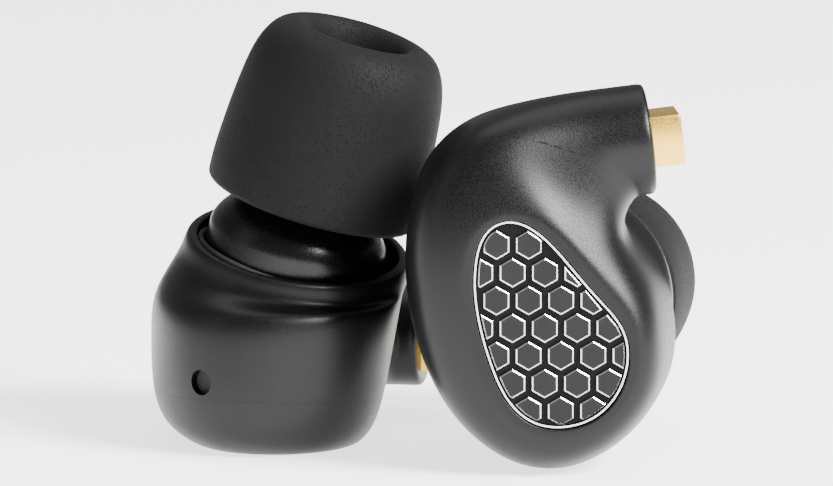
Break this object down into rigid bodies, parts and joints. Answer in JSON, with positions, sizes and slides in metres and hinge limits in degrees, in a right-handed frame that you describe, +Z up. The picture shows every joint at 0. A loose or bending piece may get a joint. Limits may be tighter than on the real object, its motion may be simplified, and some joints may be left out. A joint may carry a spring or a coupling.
{
  "type": "in ear monitors",
  "caption": "Pair of metal in ear monitors with foam tips, flared nozzles, angled cable stems and inlaid honeycomb face plates.",
  "frame": {"origin": "on the ground under the middle of the pair's bounding box", "axes": "+Z up; +X from the earpiece that lies on its face to the one that stands; -Y is the side that the standing face looks to"},
  "size_m": [0.0328, 0.0274, 0.0255],
  "materials": {
    "blasted_gunmetal": "bead blasted and anodised, satin",
    "dark_satin_metal": "anodised near-black, satin",
    "inlay_metal": "dark floor, satin pads with bright cut edges",
    "black_foam": "fine open pores, matte",
    "black_rubber": "matte",
    "core_plastic": "smooth, satin",
    "gold_plate": "gold plated, satin",
    "steel_mesh": "fine woven mesh",
    "nickel": "nickel plated",
    "membrane_film": "thin glossy film",
    "copper_winding": "enamelled copper",
    "board_green": "solder mask"
  },
  "bodies": {
    "left_earpiece": {"left_back_shell": "blasted_gunmetal", "left_face_shell": "blasted_gunmetal", "left_shell_seal": "black_rubber", "left_face_inlay": "inlay_metal", "left_vent_filter": "steel_mesh", "left_nozzle": "dark_satin_metal", "left_nozzle_seal": "black_rubber", "left_nozzle_mesh": "steel_mesh", "left_driver_cover": "nickel", "left_driver_frame": "nickel", "left_yoke": "nickel", "left_magnet": "nickel", "left_pole_plate": "nickel", "left_terminal_board": "board_green", "left_driver_retainer": "blasted_gunmetal", "left_socket_block": "gold_plate", "left_socket_insulator": "core_plastic", "left_contact_positive": "gold_plate", "left_contact_negative": "gold_plate", "left_wire_positive": "copper_winding", "left_wire_negative": "copper_winding"},
    "left_ear_tip": {"left_foam_tip": "black_foam", "left_tip_core": "core_plastic"},
    "left_moving_coil": {"left_voice_coil": "copper_winding", "left_diaphragm": "membrane_film"},
    "right_earpiece": {"right_back_shell": "blasted_gunmetal", "right_face_shell": "blasted_gunmetal", "right_shell_seal": "black_rubber", "right_face_inlay": "inlay_metal", "right_vent_filter": "steel_mesh", "right_nozzle": "dark_satin_metal", "right_nozzle_seal": "black_rubber", "right_nozzle_mesh": "steel_mesh", "right_driver_cover": "nickel", "right_driver_frame": "nickel", "right_yoke": "nickel", "right_magnet": "nickel", "right_pole_plate": "nickel", "right_terminal_board": "board_green", "right_driver_retainer": "blasted_gunmetal", "right_socket_block": "gold_plate", "right_socket_insulator": "core_plastic", "right_contact_positive": "gold_plate", "right_contact_negative": "gold_plate", "right_wire_positive": "copper_winding", "right_wire_negative": "copper_winding"},
    "right_ear_tip": {"right_foam_tip": "black_foam", "right_tip_core": "core_plastic"},
    "right_moving_coil": {"right_voice_coil": "copper_winding", "right_diaphragm": "membrane_film"}
  },
  "joints": [
    {"name": "right_earpiece_slide", "type": "slide", "parent": "left_earpiece", "child": "right_earpiece", "axis": [1, 0, 0], "range_m": [0, 0.03]},
    {"name": "left_tip_pull", "type": "slide", "parent": "left_earpiece", "child": "left_ear_tip", "axis": [0.2758, -0.1, 0.956], "range_m": [0, 0.008]},
    {"name": "left_coil_travel", "type": "slide", "parent": "left_earpiece", "child": "left_moving_coil", "axis": [0.2758, -0.1, 0.956], "range_m": [-0.0002, 0.0002], "stiffness_N_per_m": 20},
    {"name": "right_tip_pull", "type": "slide", "parent": "right_earpiece", "child": "right_ear_tip", "axis": [0.251, 0.9679, -0.015], "range_m": [0, 0.008]},
    {"name": "right_coil_travel", "type": "slide", "parent": "right_earpiece", "child": "right_moving_coil", "axis": [0.251, 0.9679, -0.015], "range_m": [-0.0002, 0.0002], "stiffness_N_per_m": 20}
  ]
}
